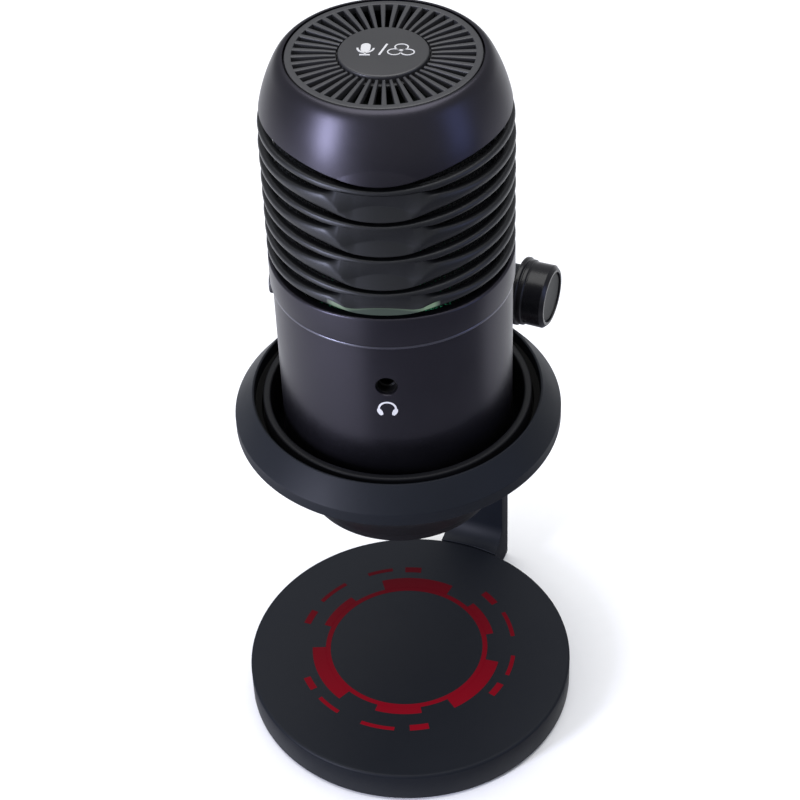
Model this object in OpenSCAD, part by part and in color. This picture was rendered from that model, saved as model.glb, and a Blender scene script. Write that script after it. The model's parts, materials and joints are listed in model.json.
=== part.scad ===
// Desktop microphone on a round weighted base.
// An upright arm at the back of the base carries a ring-shaped shock mount on a
// tilt hinge with a clamp knob. The microphone stands in the mount's cup.
// Millimetres, +Z up, the origin is the centre of the base's underside, and
// the microphone's front (headphone socket, button marks) faces -Y.

/* [Base] */
// Radius of the round base
base_r = 46; // [40:0.5:60]
// Height of the base's top face above the table
base_h = 10.3; // [8:0.1:14]
// Thickness of the base cover's top skin
base_skin = 3; // [2:0.1:4]
// Thickness of the rubber pad under the base
pad_t = 1.2; // [0.8:0.1:2]

/* [Arm] */
// Direction of the arm seen from the base's centre, degrees from +X
arm_az = 66.5; // [45:0.5:90]
// Width of the arm along the hinge axis
arm_w = 17.4; // [14:0.2:22]
// Thickness of the arm
arm_t = 5.1; // [4:0.1:6]
// Distance from the base's centre to the middle of the arm's thickness
arm_reach = 53.9; // [52:0.1:60]
// Sideways distance of the arm's middle from the base's centre, along the hinge axis
arm_shift = 0.9; // [0:0.1:2]
// Radius of the inside bend at the arm's foot
foot_fillet = 5.8; // [3:0.1:7]
// Height of the tilt hinge's axis
hinge_z = 106.7; // [95:0.5:120]
// Radius of the hinge bolt's shank
bolt_r = 2.5; // [2:0.1:3]

/* [Shock mount] */
// Distance of the microphone's axis from the base's centre, away from the arm
mic_offset = 3.4; // [0:0.1:8]
// Outer radius of the ring
ring_r = 41.9; // [40.5:0.1:44]
// Radius of the ring's opening
ring_bore_r = 36.6; // [36:0.1:37.5]
// Lowest level of the ring's outer wall
ring_z = 106.1; // [104:0.1:108]
// Height of the ring's outer wall
ring_wall_h = 3.4; // [2.5:0.1:5]
// Level of the ring's inner rim, above its sloping top face
ring_top_z = 115.5; // [113:0.1:118]
// Outer radius of the cup at its lip
cup_r = 34.4; // [33.5:0.1:35]
// Wall thickness of the cup
cup_wall = 2; // [1.5:0.1:2.5]
// Level of the cup's lip
cup_top_z = 114.6; // [112:0.1:116]
// Level of the cup's bottom edge
cup_z = 84; // [80:0.5:88]

/* [Microphone] */
// Turn of the microphone about its own axis, degrees
mic_turn = -5; // [-10:0.1:10]
// Radius of the grille section
mic_r = 30; // [28.8:0.1:30.5]
// Radius of the lower barrel
barrel_r = 29.4; // [28.4:0.1:30]
// Level of the microphone's bottom face
barrel_z = 96; // [95:0.5:98]
// Level of the seam between the barrel and the grille
seam_z = 152; // [150:0.5:156]
// Level where the straight grille turns into the shoulder
shoulder_z = 194; // [185:0.5:195]
// Level of the shoulder's upper edge
rim_z = 214.5; // [210:0.5:220]
// Radius of the shoulder's upper edge
rim_r = 24.3; // [23.5:0.1:26]
// Wall thickness of the casings
wall = 2.2; // [1.8:0.1:2.6]

/* [Grille] */
// Number of full grooves around the grille
groove_count = 5; // [3:1:6]
// Distance from one full groove to the next
groove_pitch = 9.6; // [8:0.1:10]
// Level of the lowest full groove
groove_z = 161.8; // [160:0.1:163]
// Height of a groove
groove_h = 2.8; // [2:0.1:3.4]
// Number of fins in the top grille
fin_count = 44; // [36:1:52]

/* [Controls] */
// Radius of the mode button
mode_r = 10.4; // [9:0.1:11]
// Travel of the mode button
mode_travel = 0.5; // [0.3:0.1:0.8]
// Radius of the side button
side_r = 2.8; // [2:0.1:2.8]
// Travel of the side button
side_travel = 0.8; // [0.4:0.1:0.8]
// Radius of the clamp knob's barrel
knob_r = 8.8; // [7:0.1:10]
// Length of the clamp knob
knob_len = 9.2; // [8:0.1:14]

/* [Sockets] */
// Level of the headphone socket
jack_z = 140.2; // [138:0.1:141]
// Radius of the headphone socket's bore
jack_bore_r = 1.8; // [1.8:0.05:1.85]
// Level of the USB socket at the back
usb_z = 126; // [122:0.5:130]

/* [Hidden] */

$fn = 96;
e = 0.01;
far = 200;

gap = 0.3;
run = 0.06;

arm_top_r = 6.5;
arm_out = arm_reach + arm_t / 2;
arm_in = arm_reach - arm_t / 2;
washer_t = 1;
eye_half = arm_w / 2 - washer_t;
ear_in = arm_w / 2 + gap;
ear_t = 3.4;
ear_out = ear_in + ear_t;
ear_r = 7;
bush_r = 4;
cover_z = 0.8;
skirt_t = 2.5;
plate_t = 1.2;
plate_top = pad_t + plate_t;
weight_gap = 0.2;
tongue_z = plate_top + weight_gap;
tongue_top = base_h - base_skin;
tongue_in = 18;
base_screw_r = 1.5;
base_screw_ring = 38;
arm_screw_r = 1.9;

knob_start = ear_out + 0.7;
knob_step = 1.4;
nut_r = 4.6;

cup_floor_z = 89.8;
cup_floor_t = 2.2;
screw_r = 7.5;
insert_r = 9.5;

barrel_in = barrel_r - wall;
grille_in = mic_r - 2.4;
seam_h = 0.8;
shell_z = seam_z + seam_h;
dome_r = ((mic_r - rim_r) ^ 2 + (rim_z - shoulder_z) ^ 2) / (2 * (mic_r - rim_r));
dome_end = asin((rim_z - shoulder_z) / dome_r);
front_bridge = 32;
top_r = rim_r - 1.4;
top_t = 1.7;
top_z = rim_z - 0.1 - top_t;
board_z = 206;
mesh_r = 26.3;
mesh_z = 157.2;
mesh_top = 201.4;
post_x = 22;
post_y = 3;
post_r = 2.5;
deck_z = 144.6;
deck_t = 2;
capsule_z = 182;
capsule_r = 8;
main_y = -15.2;
board_t = 1.6;
usb_y = 18.4;
side_z = 148.3;

// Points of an arc about (x, y), from angle a to angle b
function arc(x, y, r, a, b, n = 16) =
    [for (i = [0:n]) [x + r * cos(a + (b - a) * i / n), y + r * sin(a + (b - a) * i / n)]];

// Frame of the base: X along the hinge axis, Y from the base's centre towards the arm
module base_frame() { rotate([0, 0, arm_az - 90]) children(); }

// Frame of the arm: the base's frame, moved to the middle of the arm's width
module stand_frame() { base_frame() translate([arm_shift, 0, 0]) children(); }

// Frame of the microphone's axis, in the stand's directions
module mount_frame() { stand_frame() translate([0, -mic_offset, 0]) children(); }

// Frame of the microphone: -Y is its own front
module mic_frame() { mount_frame() rotate([0, 0, 90 - arm_az + mic_turn]) children(); }

// Frame of the hinge: Z along the hinge axis, towards the knob
module hinge_frame() {
    stand_frame() translate([0, arm_reach, hinge_z]) rotate([0, 90, 0]) children();
}

// A disc or tube from level z
module tube(r, h, z = 0, bore = 0) {
    translate([0, 0, z])
    difference() {
        cylinder(r = r, h = h);
        if (bore > 0) translate([0, 0, -1]) cylinder(r = bore, h = h + 2);
    }
}

// A screw: shank and a wider head at its lower end
module screw(r, len, head_r, head_h) {
    cylinder(r = r, h = len, $fn = 32);
    cylinder(r = head_r, h = head_h, $fn = 32);
}

// Copies around the base where its screws sit, clear of the arm
module base_screw_places() {
    for (a = [-30, 210, 270]) base_frame() rotate([0, 0, a]) translate([base_screw_ring, 0, 0]) children();
}

// Copies at the two chassis posts
module post_places() {
    for (s = [-1, 1]) mic_frame() translate([s * post_x, post_y, 0]) children();
}

// ---- Base ----

module base_cover() {
    chamfer = 0.5;
    color([0.07, 0.08, 0.10])
    difference() {
        union() {
            difference() {
                rotate_extrude($fn = 180)
                polygon([[0, cover_z], [base_r - 0.3, cover_z], [base_r, cover_z + 0.3],
                         [base_r, base_h - chamfer], [base_r - chamfer, base_h], [0, base_h]]);
                tube(base_r - skirt_t, tongue_top - cover_z + 1, cover_z - 1);
            }
            base_screw_places() tube(3.2, tongue_top - plate_top + e, plate_top);
        }
        base_screw_places() tube(base_screw_r, 6, plate_top - 1);
        stand_frame() translate([-arm_w / 2 - 0.05, base_r - 2 * skirt_t, cover_z - 1])
            cube([arm_w + 0.1, far, tongue_top - 0.1 - cover_z + 1]);
        arm_screw_places() tube(arm_screw_r, 5, base_h - 6);
    }
}

module base_weight() {
    color([0.45, 0.46, 0.48])
    difference() {
        tube(base_r - skirt_t - 0.4, tongue_top - tongue_z - weight_gap, tongue_z);
        base_screw_places() tube(3.5, far, -1);
        stand_frame() translate([-arm_w / 2 - 0.2, tongue_in - 0.2, 0]) cube([arm_w + 0.4, far, 20]);
    }
}

module base_plate() {
    color([0.35, 0.36, 0.38])
    difference() {
        tube(base_r - skirt_t - 0.2, plate_t, pad_t);
        base_screw_places() tube(base_screw_r, far, -1);
    }
}

module base_pad() {
    color([0.05, 0.05, 0.05]) tube(base_r - skirt_t - 0.2, pad_t);
}

module base_screws() {
    color([0.6, 0.6, 0.62]) base_screw_places() tube(base_screw_r, 5, pad_t);
}

// ---- Arm ----

module arm_screw_places() {
    for (y = [24, 36]) stand_frame() translate([0, y, 0]) children();
}

// Side outline of the arm outside the base: foot with its inside bend, and the upright
module arm_outline() {
    polygon(concat(
        [[base_r - 6, cover_z], [arm_out - 0.6, cover_z], [arm_out, cover_z + 0.6],
         [arm_out, hinge_z], [arm_in, hinge_z]],
        arc(arm_in - foot_fillet, base_h + foot_fillet, foot_fillet, 0, -90),
        [[base_r - 6, base_h]]));
}

module stand_arm() {
    color([0.07, 0.08, 0.10])
    difference() {
        union() {
            difference() {
                stand_frame() translate([-arm_w / 2, 0, 0])
                    rotate([90, 0, 90]) linear_extrude(arm_w) arm_outline();
                tube(base_r + 0.05, far, -1);
            }
            // Tongue under the base cover
            stand_frame() translate([-arm_w / 2, tongue_in, tongue_z])
                cube([arm_w, base_r + 1 - tongue_in, tongue_top - weight_gap - tongue_z]);
            hinge_frame() translate([0, 0, -eye_half]) cylinder(r = arm_top_r, h = 2 * eye_half);
        }
        // Room for the washers and the mount's ears beside the eye
        for (z = [eye_half, -eye_half - 5]) hinge_frame() translate([0, 0, z]) cylinder(r = ear_r + 1.5, h = 5);
        hinge_frame() translate([0, 0, -far / 2]) cylinder(r = bush_r, h = far);
        arm_screw_places() translate([0, 0, -1]) cylinder(r = arm_screw_r, h = 20);
        arm_screw_places() translate([0, 0, tongue_z - 1]) cylinder(r = 3.5, h = 2.6);
    }
}

module arm_screws() {
    color([0.6, 0.6, 0.62])
    arm_screw_places() translate([0, 0, tongue_z]) screw(arm_screw_r, base_h - 1.2 - tongue_z, 3.5, 1.6);
}

module hinge_bush() {
    color([0.75, 0.6, 0.3]) hinge_frame()
        tube(bush_r, 2 * eye_half, -eye_half, bolt_r + run);
}

module friction_washers() {
    color([0.15, 0.15, 0.16]) hinge_frame()
        for (z = [-eye_half - washer_t, eye_half]) tube(ear_r - 0.5, washer_t, z, bolt_r + run);
}

// ---- Shock mount ----

module shock_ring() {
    chamfer = 0.5;
    color([0.07, 0.08, 0.10])
    difference() {
        union() {
            mount_frame() rotate_extrude($fn = 180)
            polygon([[ring_bore_r, ring_z - 2], [ring_r - 3, ring_z - 2], [ring_r - 0.4, ring_z],
                     [ring_r, ring_z + chamfer], [ring_r, ring_z + ring_wall_h - chamfer],
                     [ring_r - 0.3, ring_z + ring_wall_h], [ring_bore_r + 0.6, ring_top_z],
                     [ring_bore_r, ring_top_z - 0.4]]);
            // Bridge from the ring back to the ears
            stand_frame() translate([-ear_out, ring_bore_r - mic_offset, ring_z - 4])
                cube([2 * ear_out, 45.4 - ring_bore_r + mic_offset, ring_wall_h + 3.4]);
            for (z = [-ear_out, ear_in]) {
                hinge_frame() translate([0, 0, z]) cylinder(r = ear_r, h = ear_t);
                stand_frame() translate([z, 40, hinge_z - 5]) cube([ear_t, arm_reach - 40, 10]);
            }
        }
        mount_frame() tube(ring_bore_r, far, 0);
        hinge_frame() translate([0, 0, -far / 2]) cylinder(r = bolt_r, h = far);
    }
}

module isolator_ring() {
    // A groove parts the rubber from the cup's lip above its foot
    groove_w = 0.5;
    foot_z = ring_z + 1.4;
    color([0.04, 0.04, 0.045]) mount_frame() rotate_extrude($fn = 180)
        polygon([[cup_r, ring_z - 1], [ring_bore_r, ring_z - 1], [ring_bore_r, ring_z + 6.4],
                 [cup_r + groove_w, ring_z + 4.9], [cup_r + groove_w, foot_z], [cup_r, foot_z]]);
}

// Outline of the cup's outer face, from the bottom edge up to the lip
function cup_face(inset) = concat(
    [[25 - inset, cup_z], [26.4 - inset, cup_z + 3.2], [27 - inset, cup_z + 3.8]],
    arc(cup_r - 14 - inset, 103, 14, -42, 0),
    [[cup_r - inset, cup_top_z]]);

module cradle_cup() {
    color([0.08, 0.08, 0.10]) mount_frame()
    difference() {
        rotate_extrude($fn = 180) polygon(concat([[0, cup_z]], cup_face(0), [[0, cup_top_z]]));
        intersection() {
            rotate_extrude($fn = 180)
                polygon(concat([[0, cup_z]], cup_face(cup_wall), [[0, cup_top_z]]));
            tube(far, far, cup_floor_z + cup_floor_t);
        }
        tube(cup_r - cup_wall, 1, cup_top_z - 0.5);
        tube(21.4, cup_floor_z - cup_z + 1, cup_z - 1);
        tube(screw_r + 0.2, far, 0);
    }
}

module cup_pad() {
    color([0.04, 0.04, 0.045]) mount_frame()
        tube(24.6, barrel_z - cup_floor_z - cup_floor_t, cup_floor_z + cup_floor_t, insert_r + 1);
}

module hinge_bolt() {
    head_h = 3.2;
    color([0.5, 0.5, 0.52]) hinge_frame()
    difference() {
        union() {
            tube(bolt_r, ear_out + knob_start + 5, -ear_out);
            tube(4.4, head_h, -ear_out - head_h);
        }
        translate([0, 0, -ear_out - head_h - 1]) cylinder(r = 2.2, h = 3, $fn = 6);
    }
}

module knob_washer() {
    color([0.5, 0.5, 0.52]) hinge_frame() tube(ear_r, 0.5, ear_out, bolt_r);
}

// ---- Clamp knob ----

module clamp_knob() {
    end = knob_start + knob_len;
    color([0.06, 0.06, 0.07]) hinge_frame()
    difference() {
        rotate_extrude()
        polygon([[0, knob_start], [knob_r + 0.8, knob_start], [knob_r + 0.8, knob_start + knob_step],
                 [knob_r + 0.3, knob_start + knob_step + 0.4], [knob_r + 0.3, knob_start + 3],
                 [knob_r, knob_start + 3.2], [knob_r, end - 1], [knob_r - 1, end], [0, end]]);
        tube(nut_r, 6.4, knob_start - 1);
        tube(knob_r - 1.8, 2, end - 0.9);
    }
}

module knob_nut() {
    color([0.75, 0.6, 0.3]) hinge_frame() tube(nut_r, 5.4, knob_start, bolt_r + run);
}

module knob_cap() {
    color([0.12, 0.13, 0.13]) hinge_frame() tube(knob_r - 1.8, 0.5, knob_start + knob_len - 0.9);
}

// ---- Microphone: bottom ----

module mount_screw() {
    color([0.4, 0.4, 0.42]) mount_frame()
    difference() {
        union() {
            tube(screw_r, 13, cup_floor_z);
            tube(14, cup_floor_z - cup_z - 0.8, cup_z + 0.8);
        }
        translate([-far / 2, -1, cup_z]) cube([far, 2, 2.2]);
    }
}

module threaded_insert() {
    color([0.75, 0.6, 0.3]) mount_frame()
        tube(insert_r, 8, barrel_z + 0.2, screw_r + 0.02);
}

module bottom_plate() {
    color([0.1, 0.1, 0.11])
    difference() {
        mount_frame() tube(26.6, 2.6, barrel_z + 0.2, insert_r);
        post_places() tube(1.5, far, 0);
        post_places() tube(2.6, 1.2, barrel_z);
    }
}

module bottom_screws() {
    color([0.6, 0.6, 0.62]) post_places() translate([0, 0, barrel_z + 0.2]) screw(1.5, 9, 2.6, 1);
}

// ---- Microphone: casing ----

module lower_barrel() {
    chamfer = 2.4;
    color([0.12, 0.12, 0.15])
    difference() {
        mount_frame() rotate_extrude($fn = 180)
        polygon([[26.6, barrel_z], [barrel_r - chamfer, barrel_z], [barrel_r, barrel_z + 4],
                 [barrel_r, seam_z], [barrel_in, seam_z], [barrel_in, barrel_z + 5], [26.6, barrel_z + 2.8]]);
        mic_frame() {
            translate([0, 0, jack_z]) rotate([90, 0, 0]) cylinder(r = 2.5, h = 40, $fn = 48);
            translate([0, 0, side_z]) rotate([0, -90, 0]) cylinder(r = side_r + 0.15, h = 40, $fn = 48);
            translate([-4.6, 0, usb_z - 1.75]) cube([9.2, 40, 3.5]);
        }
    }
}

module seam_ring() {
    color([0.3, 0.3, 0.34]) mount_frame() tube(barrel_r + 0.45, seam_h, seam_z, grille_in);
}

// Through slots of one tier, left and right of the front and back bridges
module slot_tier(z, h, half_bridge) {
    ribs = 3;
    span = (180 - 2 * half_bridge) / ribs;
    for (side = [0, 180], i = [0:ribs - 1])
        rotate([0, 0, side - 90 + half_bridge + i * span + 2])
        rotate_extrude(angle = span - 4) translate([grille_in - 1, z - h / 2]) square([5, h]);
}

module grille_shell() {
    color([0.13, 0.13, 0.17])
    mic_frame() difference() {
        rotate_extrude($fn = 180) polygon(concat(
            [[grille_in, shell_z], [mic_r - 0.3, shell_z], [mic_r, shell_z + 0.3]],
            arc(mic_r - dome_r, shoulder_z, dome_r, 0, dome_end, 24),
            [[top_r, rim_z], [top_r, top_z - 1.6]],
            arc(mic_r - dome_r - 2.4, shoulder_z, dome_r, dome_end * 0.72, 0, 12)));
        for (i = [0:groove_count - 1]) {
            rotate_extrude($fn = 180) translate([mic_r - 1.2, groove_z + i * groove_pitch - groove_h / 2])
                square([5, groove_h]);
            slot_tier(groove_z + i * groove_pitch, groove_h - 0.8, 2);
        }
        for (i = [0:groove_count - 2])
            slot_tier(groove_z + (i + 0.5) * groove_pitch, groove_h - 0.4, front_bridge / 2);
    }
}

module top_grille() {
    slot_in = 11.8;
    slot_out = 21;
    share = 0.56;
    step = 360 / fin_count;
    color([0.06, 0.06, 0.07]) mic_frame() translate([0, 0, top_z])
    linear_extrude(top_t) difference() {
        circle(r = top_r - 0.1, $fn = 180);
        circle(r = mode_r + gap);
        for (i = [0:fin_count - 1]) rotate(i * step)
            polygon([for (s = [-1, 1], r = s > 0 ? [slot_out, slot_in] : [slot_in, slot_out])
                     r * [cos(s * step * share / 2), sin(s * step * share / 2)]]);
    }
}

module inner_mesh() {
    color([0.2, 0.21, 0.2]) mount_frame() tube(mesh_r, mesh_top - mesh_z, mesh_z, mesh_r - 0.6);
}

module pop_foam() {
    color([0.1, 0.1, 0.1]) mount_frame() tube(mesh_r - 0.8, mesh_top - mesh_z - 1, mesh_z + 0.5, 21);
}

// ---- Microphone: inside ----

module light_ring() {
    color([0.85, 0.95, 0.9]) mount_frame() tube(grille_in - 0.2, mesh_z - shell_z - 0.4, shell_z + 0.4, 22);
}

module light_board() {
    color([0.05, 0.07, 0.06]) mount_frame() tube(26.8, 1.2, shell_z - 0.8, 20);
}

module chassis() {
    color([0.16, 0.16, 0.17])
    difference() {
        union() {
            mount_frame() tube(barrel_in - 0.2, deck_t, deck_z);
            post_places() tube(post_r, deck_z - barrel_z - 2.8 + e, barrel_z + 2.8);
            mic_frame() for (s = [-1, 1])
                translate([s * 14, 0, 0]) tube(post_r, 160 - deck_z - deck_t + e, deck_z + deck_t - e);
        }
        post_places() tube(1.5, 10, barrel_z);
        mic_frame() translate([-far - 24.9, -side_r - 1, side_z - side_r - 1]) cube([far, 2 * side_r + 2, 20]);
    }
}

module capsule_frame() {
    color([0.16, 0.16, 0.17]) mic_frame() {
        tube(20, 2.5, 160);
        translate([-12, -2, 162.4]) cube([24, 4, 32]);
    }
}

module capsule_cups() {
    color([0.04, 0.04, 0.045]) mic_frame()
    for (s = [0, 180]) rotate([0, 0, s]) translate([0, -2, capsule_z]) rotate([90, 0, 0])
        tube(capsule_r + 1.6, 9, 0, capsule_r);
}

module capsules() {
    color([0.75, 0.65, 0.35]) mic_frame()
    for (s = [0, 180]) rotate([0, 0, s]) translate([0, -2, capsule_z]) rotate([90, 0, 0])
        tube(capsule_r, 8.2);
}

module main_board() {
    color([0.05, 0.07, 0.06]) mic_frame() translate([-20.5, main_y, 101]) cube([41, board_t, 43]);
}

module headphone_socket() {
    nose = barrel_r - 0.7;
    color([0.05, 0.05, 0.05]) mic_frame() translate([0, 0, jack_z]) rotate([90, 0, 0])
    difference() {
        union() {
            tube(2.5, nose - 26, 26, 0);
            tube(3.8, 26 + main_y, -main_y);
        }
        translate([0, 0, -main_y + 1]) cylinder(r = jack_bore_r, h = 40, $fn = 48);
    }
}

module usb_board() {
    color([0.05, 0.07, 0.06]) mic_frame() translate([-11, usb_y, usb_z - 10]) cube([22, board_t, 20]);
}

module usb_socket() {
    depth = 28.6 - usb_y - board_t;
    color([0.7, 0.7, 0.72]) mic_frame() translate([-4.5, usb_y + board_t, usb_z - 1.6])
    difference() {
        cube([9, depth, 3.2]);
        translate([0.35, 1.2, 0.35]) cube([8.3, depth, 2.5]);
    }
}

module side_switch() {
    color([0.2, 0.2, 0.2]) mic_frame() translate([-24.6, -3, deck_z + deck_t]) cube([6, 6, 3.8]);
}

module top_board() {
    color([0.05, 0.07, 0.06]) mount_frame() tube(21, board_t, board_z);
}

module mode_switch() {
    color([0.2, 0.2, 0.2]) mic_frame() {
        translate([-3, -3, board_z + board_t]) cube([6, 6, 2.6]);
        tube(1.6, 3.2, board_z + board_t);
    }
}

// ---- Buttons ----

module mode_button() {
    flange_z = top_z - gap - 1;
    color([0.14, 0.14, 0.15]) mic_frame() {
        rotate_extrude() polygon([[0, flange_z + 1], [mode_r, flange_z + 1], [mode_r, rim_z - 0.2],
                                  [mode_r - 0.8, rim_z + 0.5], [0, rim_z + 0.5]]);
        tube(mode_r + 0.9, 1.01, flange_z);
    }
}

module side_button() {
    color([0.1, 0.1, 0.11]) mic_frame() translate([0, 0, side_z]) rotate([0, -90, 0]) {
        tube(side_r, 30.4 - 26, 26);
        tube(side_r + 0.5, 0.6, 25.7);
    }
}

base_cover();
base_weight();
base_plate();
base_pad();
base_screws();
stand_arm();
arm_screws();
hinge_bush();
friction_washers();
shock_ring();
isolator_ring();
cradle_cup();
cup_pad();
hinge_bolt();
knob_washer();
mount_screw();
threaded_insert();
bottom_plate();
bottom_screws();
lower_barrel();
seam_ring();
grille_shell();
top_grille();
inner_mesh();
light_ring();
light_board();
pop_foam();
capsule_frame();
capsule_cups();
capsules();
chassis();
main_board();
headphone_socket();
usb_board();
usb_socket();
side_switch();
top_board();
mode_switch();
mode_button();
side_button();
clamp_knob();
knob_nut();
knob_cap();
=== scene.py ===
"""Looks of the desktop microphone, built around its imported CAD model."""

import json
import math

import bmesh
import bpy
from mathutils import Matrix, Vector


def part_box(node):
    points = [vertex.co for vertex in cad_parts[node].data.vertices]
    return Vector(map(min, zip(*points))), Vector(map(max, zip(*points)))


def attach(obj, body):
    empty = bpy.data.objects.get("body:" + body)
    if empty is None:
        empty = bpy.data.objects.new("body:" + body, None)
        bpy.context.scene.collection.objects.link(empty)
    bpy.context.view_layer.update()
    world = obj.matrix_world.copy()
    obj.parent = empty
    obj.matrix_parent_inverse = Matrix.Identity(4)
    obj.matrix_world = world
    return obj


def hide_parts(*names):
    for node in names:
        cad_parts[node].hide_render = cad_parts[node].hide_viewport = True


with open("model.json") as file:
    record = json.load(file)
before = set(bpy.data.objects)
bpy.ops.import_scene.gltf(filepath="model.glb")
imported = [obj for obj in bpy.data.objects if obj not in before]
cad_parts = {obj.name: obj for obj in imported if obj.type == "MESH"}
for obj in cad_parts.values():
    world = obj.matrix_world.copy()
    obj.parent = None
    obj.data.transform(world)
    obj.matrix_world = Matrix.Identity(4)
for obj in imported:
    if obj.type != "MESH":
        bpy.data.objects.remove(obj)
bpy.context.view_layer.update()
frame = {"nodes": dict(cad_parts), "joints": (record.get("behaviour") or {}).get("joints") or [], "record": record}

MM = 0.001
UP = Vector((0, 0, 1))
WELD = 1e-6
# Edges sharper than this many degrees stay sharp in the shading
SHARP = 32.0
BEVEL_SHARP = 50.0
# Bevels round the edges sharper than this many degrees
BEVEL_FROM = 35.0
BEVEL_STEPS = 3
# Thickness of the printed marks, which are part sunk in what carries them
MARK_HEIGHT = 0.1
PRINT_HEIGHT = 0.07
# Faces within this many degrees of each other count as one flat face
FLAT = 0.8


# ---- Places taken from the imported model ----

def mount(name):
    """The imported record's mount of that name."""
    return next(m for m in frame["record"]["mounts"] if m["name"] == name)


def joint(name):
    """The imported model's joint of that name."""
    return next(j for j in frame["joints"] if j["name"] == name)


def node_centre(node):
    """Middle of a CAD node's box, in metres."""
    low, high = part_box(node)
    return (low + high) / 2


def span(node):
    """Lowest and highest level of a CAD node, in millimetres."""
    low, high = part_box(node)
    return low.z / MM, high.z / MM


def radius(node):
    """Outer radius of a round CAD node that stands upright, in millimetres."""
    low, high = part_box(node)
    return (high.x - low.x) / 2 / MM


def upright_frame(centre, front):
    """Axes of a piece that stands at centre and faces front: X to its right, Y to its back, Z up."""
    back = -front.normalized()
    right = back.cross(UP)
    return Matrix.Translation(centre) @ Matrix((right, back, UP)).transposed().to_4x4()


MIC_AXIS = Vector((node_centre("seam_ring").x, node_centre("seam_ring").y, 0))
MIC_FRONT = Vector(mount("headphone_jack")["axis"])
MIC = upright_frame(MIC_AXIS, MIC_FRONT)
BASE = upright_frame(Vector((0, 0, 0)), Vector((0, -1, 0)))
HINGE_AXIS = Vector(joint("tilt")["axis"])
HINGE_POINT = Vector(joint("tilt")["pos_m"])
# Hinge frame: Z along the hinge axis towards the knob, Y up
HINGE = Matrix.Translation(HINGE_POINT) @ Matrix(
    (UP.cross(HINGE_AXIS), UP, HINGE_AXIS)).transposed().to_4x4()

NODE_SLOTS = {row["node"]: row["material_slot"] for row in frame["record"]["subparts"]}
JACK_Z = mount("headphone_jack")["pos_m"][2] / MM
JACK_BORE = mount("headphone_jack")["dims"]["r_mm"]


# ---- Small helpers ----

def clamp(value, low=0.0, high=1.0):
    """The value, held between low and high."""
    return max(low, min(high, value))


def smooth(value, start, end):
    """0 at start, 1 at end, with an easy turn at both."""
    t = clamp((value - start) / (end - start))
    return t * t * (3 - 2 * t)


def mix(a, b, t):
    """From a at t = 0 to b at t = 1."""
    return a + (b - a) * t


def mix_points(a, b, t):
    """From outline a to outline b, point by point."""
    return [(mix(p[0], q[0], t), mix(p[1], q[1], t)) for p, q in zip(a, b)]


def arc_points(x, y, r, start, end, steps=24, squash=1.0):
    """Points (x, y) along an arc from start to end, in degrees."""
    angles = (math.radians(mix(start, end, k / steps)) for k in range(steps + 1))
    return [(x + r * math.cos(a), y + r * squash * math.sin(a)) for a in angles]


def turned(outline, azimuth):
    """An outline of (radius, height), stood up at an azimuth from the microphone's front."""
    turn = math.radians(azimuth - 90)
    c, s = math.cos(turn), math.sin(turn)
    return [(r * c, r * s, z) for r, z in outline]


def rounded(corners, steps=5):
    """Outline through corners (x, y, fillet radius), with its corners rounded by arcs."""
    points = []
    count = len(corners)
    for i, (x, y, fillet) in enumerate(corners):
        here = Vector((x, y))
        if not fillet:
            points.append((x, y))
            continue
        before = Vector(corners[i - 1][:2]) - here
        after = Vector(corners[(i + 1) % count][:2]) - here
        half = before.angle(after) / 2
        reach = min(fillet / math.tan(half), 0.49 * before.length, 0.49 * after.length)
        start = here + before.normalized() * reach
        end = here + after.normalized() * reach
        for k in range(steps + 1):
            t = k / steps
            p = start * (1 - t) ** 2 + here * 2 * t * (1 - t) + end * t ** 2
            points.append((p.x, p.y))
    return points


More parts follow.
